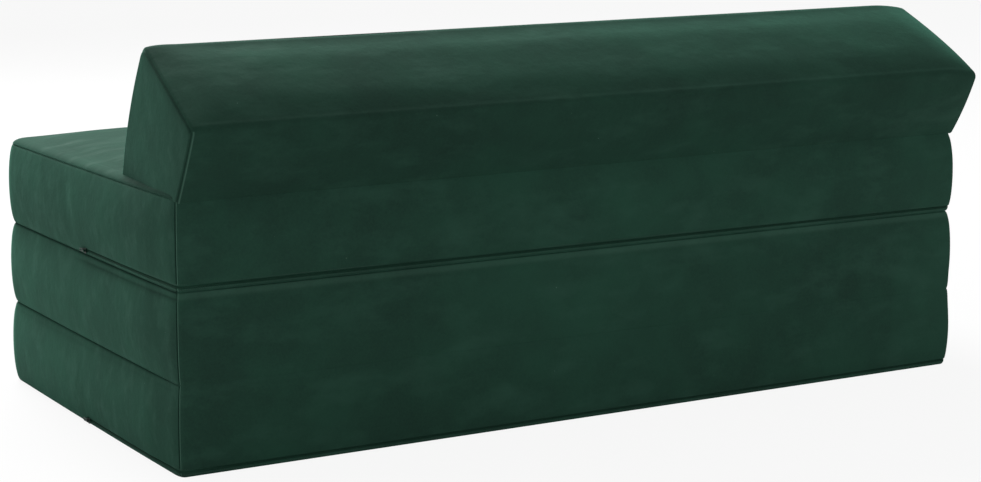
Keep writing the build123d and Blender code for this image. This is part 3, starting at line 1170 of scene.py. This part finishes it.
# base and middle have the same seed, so that the rear cloth that they share meets
for piece, broad, seed in (
    (baseCover, 0.9 * mm, 4.0),
    (middleCover, 0.9 * mm, 4.0),
    (seatCover, 1.0 * mm, 7.0),
    (backCover, 1.2 * mm, 11.0),
):
    unsettle(piece, broad, seed)
joinRear(baseCover, middleCover)
for piece in (baseCover, middleCover):
    holdBack(piece, rearFold.y, 1)
for piece in (middleCover, seatCover):
    holdBack(piece, frontFold.y, -1)
print("covers filled")

panels = ("top", "underside", "rear", "front", "left_end", "right_end")
for piece, body, name, ends in (
    (baseCover, "base", "base", [panel for panel in panels if panel != "underside"]),
    (middleCover, "middle", "middle", panels),
    (seatCover, "seat", "seat", panels),
    (backCover, "seat", "backrest", ("wrap", "left_end", "right_end")),
):
    attach(piece, body, "velvet", f"{name}_foam", *[f"{name}_{end}_panel" for end in ends])

for name, node in frame["nodes"].items():
    if name.endswith(("slider", "pull", "stops")):
        node.data.materials.clear()
        node.data.materials.append(finishes["metal"])


zipper = {
    "rise": 7.5 * mm,
    "tapeReach": 5 * mm,  # above and below the chain
    "tapeDepth": 1.5 * mm,  # below the velvet
    "tapeThick": 0.8 * mm,
    "toothPitch": 1.7 * mm,
    "toothSize": (0.62 * mm, 1.9 * mm, 0.75 * mm),
    "toothDepth": 0.9 * mm,
    "stitchPitch": 3.4 * mm,
    "stitchSize": (1.25 * mm, 0.26 * mm, 0.24 * mm),
    "stitchDepth": 0.05 * mm,
    "stitchAway": 3.9 * mm,  # from the middle of the chain to each row of stitches
}


def zipLine(bottom, depth, away=0.0):
    # points and outward directions along a zip, from the right end round the rear to the left
    outline = planOutline()
    outline["columns"] = columnsOf(outline)
    level = zipper["rise"] + away
    side = ellipseOut(level, wallHeight, None) - depth
    rear = ellipseOut(level, wallHeight, "top" if bottom == 0 else None) - depth
    line = []
    ring = ringOf(outline, (side, side, rear, side))
    for column, (point, normal) in zip(outline["columns"], ring):
        if column[0] == 2 or (column[0] != 0 and point.y >= zipStart):
            line.append((Vector((*point, bottom + level)), Vector((*normal, 0))))
    return line


def beadTree():
    # small oval beads at a steady pitch along a path: zip teeth and stitches
    graph = Graph(bpy.data.node_groups.new("beads_along_path", "GeometryNodeTree"))
    sockets = (("Path", "Geometry"), ("Pitch", "Float"), ("Size", "Vector"), ("Finish", "Material"))
    face = graph.tree.interface
    for title, kind in sockets:
        face.new_socket(title, in_out="INPUT", socket_type=f"NodeSocket{kind}")
    face.new_socket("Beads", in_out="OUTPUT", socket_type="NodeSocketGeometry")
    entry = graph.node("NodeGroupInput", {})
    path, pitch, size, finish = [Value(graph, entry.outputs[title]) for title, _ in sockets]
    curve = graph.value("GeometryNodeMeshToCurve", {0: path})
    values = {"Curve": curve, "Length": pitch}
    even = graph.value("GeometryNodeResampleCurve", values, mode="LENGTH")
    bead = graph.value("GeometryNodeMeshUVSphere", {"Segments": 8, "Rings": 5, "Radius": 1.0})
    values = {"Name": "outward"}
    outward = graph.value("GeometryNodeInputNamedAttribute", values, data_type="FLOAT_VECTOR")
    turned = graph.value("FunctionNodeAlignRotationToVector", {"Vector": outward}, axis="Z")
    tangent = graph.value("GeometryNodeInputTangent", {})
    values = {"Rotation": turned, "Vector": tangent}
    turned = graph.value("FunctionNodeAlignRotationToVector", values, axis="X", pivot_axis="Z")
    values = {"Points": even, "Instance": bead, "Rotation": turned, "Scale": size}
    placed = graph.value("GeometryNodeInstanceOnPoints", values)
    real = graph.value("GeometryNodeRealizeInstances", {0: placed})
    coated = graph.value("GeometryNodeSetMaterial", {"Geometry": real, "Material": finish})
    graph.node("NodeGroupOutput", {0: coated})
    return graph.tree


beads = beadTree()


def runBeads(name, line, pitch, size, finish):
    # along an edge path that carries the outward direction of the cover it follows
    edges = [(index, index + 1) for index in range(len(line) - 1)]
    path = pieceOf(name + "_path", None, [point for point, _ in line], [], edges)
    outward = path.data.attributes.new("outward", "FLOAT_VECTOR", "POINT")
    outward.data.foreach_set("vector", [value for _, normal in line for value in normal])
    modifier = path.modifiers.new("beads", "NODES")
    modifier.node_group = beads
    values = {"Pitch": pitch, "Size": size, "Finish": finishes[finish]}
    for item in beads.interface.items_tree:
        if item.in_out == "INPUT" and item.name in values:
            modifier[item.identifier] = values[item.name]
    graph = bpy.context.evaluated_depsgraph_get()
    mesh = bpy.data.meshes.new_from_object(path.evaluated_get(graph))
    bpy.data.objects.remove(path)
    mesh.name = name
    mesh.shade_smooth()
    return added(name, mesh)


def stitch(name, line, piece, body, slot):
    # a row of stitches, as the piece's own values give them
    attach(runBeads(name, line, piece["stitchPitch"], piece["stitchSize"], "thread"), body, slot)


def sewTape(name, bottom):
    # the tape behind the slot: a thin closed band that follows the cover
    reach, thick = zipper["tapeReach"], zipper["tapeThick"]
    lines = [
        zipLine(bottom, zipper["tapeDepth"] + back, away)
        for back, away in ((0, -reach), (0, reach), (thick, reach), (thick, -reach))
    ]
    count = len(lines[0])
    faces = []
    for side in range(4):
        here, after = side * count, ((side + 1) % 4) * count
        faces += [(here + i, here + i + 1, after + i + 1, after + i) for i in range(count - 1)]
    faces += [(3 * count, 2 * count, count, 0), tuple(k * count + count - 1 for k in range(4))]
    return pieceOf(name, finishes["tape"], [point for line in lines for point, _ in line], faces)


def sewZip(name, bottom):
    tape = sewTape(f"{name}_tape_band", bottom)
    attach(tape, name, "zip_tape", f"{name}_zip_tape")
    line = zipLine(bottom, zipper["toothDepth"])
    teeth = runBeads(f"{name}_teeth", line, zipper["toothPitch"], zipper["toothSize"], "teeth")
    attach(teeth, name, "zip_teeth", f"{name}_zip_chain")
    for row, side in (("upper", 1), ("lower", -1)):
        line = zipLine(bottom, zipper["stitchDepth"], side * zipper["stitchAway"])
        stitch(f"{name}_zip_{row}_stitches", line, zipper, name, "zip_tape")


def closedPiece(name, rings, finish):
    # rings of equally many points, joined one to the next and capped at both ends
    count = len(rings[0])
    points = [point for ring in rings for point in ring]
    caps = [tuple(reversed(range(count))), tuple(range(len(points) - count, len(points)))]
    faces = bandFaces(count, len(rings)) + caps
    piece = pieceOf(name, finishes[finish], points, faces)
    shaped = bmesh.new()
    shaped.from_mesh(piece.data)
    bmesh.ops.recalc_face_normals(shaped, faces=shaped.faces)
    shaped.to_mesh(piece.data)
    shaped.free()
    piece.data.shade_smooth()
    piece.data.set_sharp_from_angle(angle=sewing["hardEdge"])
    return piece


underside = {
    "inset": 17 * mm,
    "corner": 14 * mm,
    "cornerLeast": 2 * mm,
    "cornerSteps": 8,
    "hem": 13 * mm,
    "roundTop": 1 * mm,
    "roundLow": 0.6 * mm,
    "hemEnd": 0.5 * mm,
    "low": 0.15 * mm,
    "high": 1.1 * mm,
    "web": 0.5 * mm,  # underside of the single cloth inside its doubled hem
    "stitchInset": 9 * mm,
    "stitchPitch": 4.2 * mm,
    "stitchSize": (1.6 * mm, 0.3 * mm, 0.12 * mm),
}


def roundedRing(inset, level):
    radius = max(underside["corner"] - (inset - underside["inset"]), underside["cornerLeast"])
    wide = sofa["halfWidth"] - inset - radius
    rear = sofa["rearSeam"] - inset - radius
    front = sofa["frontSeam"] + inset + radius
    ring = []
    for quarter, centre in enumerate(((wide, rear), (-wide, rear), (-wide, front), (wide, front))):
        for step in range(underside["cornerSteps"] + 1):
            turn = 0.5 * math.pi * (quarter + step / underside["cornerSteps"])
            x = centre[0] + radius * math.cos(turn)
            ring.append(Vector((x, centre[1] + radius * math.sin(turn), level)))
    return ring


def sewUnderside():
    low, high, web = underside["low"], underside["high"], underside["web"]
    hem = underside["hem"]
    rings = [
        roundedRing(underside["inset"] + further, level)
        for further, level in (
            (underside["roundTop"], high),
            (0.0, 0.5 * (low + high)),
            (underside["roundLow"], low),
            (hem, low),
            (hem + underside["hemEnd"], web),
        )
    ]
    cloth = closedPiece("underside_cloth", rings, "underside")
    attach(cloth, "base", "underside_cloth", "base_underside_panel")
    ring = roundedRing(underside["inset"] + underside["stitchInset"], low)
    line = [(point, Vector((0, 0, -1))) for point in ring + ring[:1]]
    stitch("underside_stitches", line, underside, "base", "underside_cloth")


strip = {
    "thick": 1.4 * mm,
    "halfLength": 684 * mm,
    "reach": 9.5 * mm,  # from the front seam to the rounded edge at the fold
    "tuck": 3 * mm,  # behind the seam
    "edge": ((0.6 * mm, 0.0), (0.15 * mm, 0.25), (0.0, 0.5), (0.15 * mm, 0.75), (0.6 * mm, 1.0)),
    "ripple": 0.12 * mm,
    "rippleScale": (14, 40),
    "segments": 120,
    "stitchAway": 2.4 * mm,
    "stitchPitch": 4.0 * mm,
    "stitchSize": (1.5 * mm, 0.3 * mm, 0.22 * mm),
}


def sewStrip(side, body, face, upward):
    # half of the webbing that joins seat and middle along the front
    thick, front = strip["thick"], sofa["frontSeam"]
    rounded = [(front - strip["reach"] + away, share * thick) for away, share in strip["edge"]]
    inside = front + strip["tuck"]
    profile = [(inside, 0.0), *rounded, (inside, thick)]
    rings = []
    for step in range(strip["segments"] + 1):
        x = strip["halfLength"] * (2 * step / strip["segments"] - 1)
        spot = Vector((x * strip["rippleScale"][0], face * strip["rippleScale"][1], 0))
        ripple = abs(strip["ripple"] * noise.noise(spot))
        rings.append([Vector((x, y + ripple, face + upward * away)) for y, away in profile])
    band = closedPiece(f"front_strip_{side}", rings, "tape")
    attach(band, body, "velvet", f"front_fold_{side}_strip")
    inward = Vector((0, strip["stitchAway"], upward * thick))
    line = [(ring[1] + inward, Vector((0, 0, upward))) for ring in rings]
    stitch(f"front_strip_{side}_stitches", line, strip, body, "velvet")


sewUnderside()
sewStrip("lower", "middle", 2 * height - gap / 2, -1)
sewStrip("upper", "seat", seatBottom, 1)
print("underside cloth and front strips sewn")

sewZip("base", 0.0)
sewZip("seat", seatBottom)
print("zips sewn in")


studio = {
    "floor": 30.0,
    "floorShade": 0.86,
    "floorGlow": 0.9,  # as the camera and reflections see it
    "worldStrength": 0.40,
    "lamps": {  # place, size and power
        "key": ((0.3, -3.6, 3.5), 2.2, 300.0),
        "fill": ((-1.5, 4.5, 2.0), 3.0, 20.0),
    },
    "aim": (0, 0, 0.25),
}


def floorFinish():
    finish = Finish("floor")
    seen = finish.rays("Camera", "Glossy", "Transmission") * studio["floorGlow"]
    grey = (studio["floorShade"],) * 3 + (1,)
    plain = finish.value("ShaderNodeBsdfDiffuse", {"Color": grey})
    glow = finish.value("ShaderNodeEmission", {"Color": (1, 1, 1, 1), "Strength": 1.0})
    return finish.finished(finish.value("ShaderNodeMixShader", {0: seen, 1: plain, 2: glow}))


def lightStudio():
    half = studio["floor"] / 2
    points = [(-half, -half, 0), (half, -half, 0), (half, half, 0), (-half, half, 0)]
    pieceOf("floor", floorFinish(), points, [(0, 1, 2, 3)])
    world = bpy.data.worlds.new("studio")
    bpy.context.scene.world = world
    world.use_nodes = True
    graph = Graph(world.node_tree)
    values = {0: graph.rays("Camera"), 3: studio["worldStrength"], 4: 1.0}
    strength = graph.value("ShaderNodeMapRange", values)
    sky = graph.value("ShaderNodeBackground", {"Color": (1, 1, 1, 1), "Strength": strength})
    graph.node("ShaderNodeOutputWorld", {"Surface": sky})
    for name, (place, size, power) in studio["lamps"].items():
        light = bpy.data.lights.new(name, "AREA")
        light.shape = "DISK"
        light.size = size
        light.energy = power
        lamp = added(name, light)
        lamp.location = place
        aim = Vector(studio["aim"]) - Vector(place)
        lamp.rotation_euler = aim.to_track_quat("-Z", "Y").to_euler()


lightStudio()
print("studio lit")
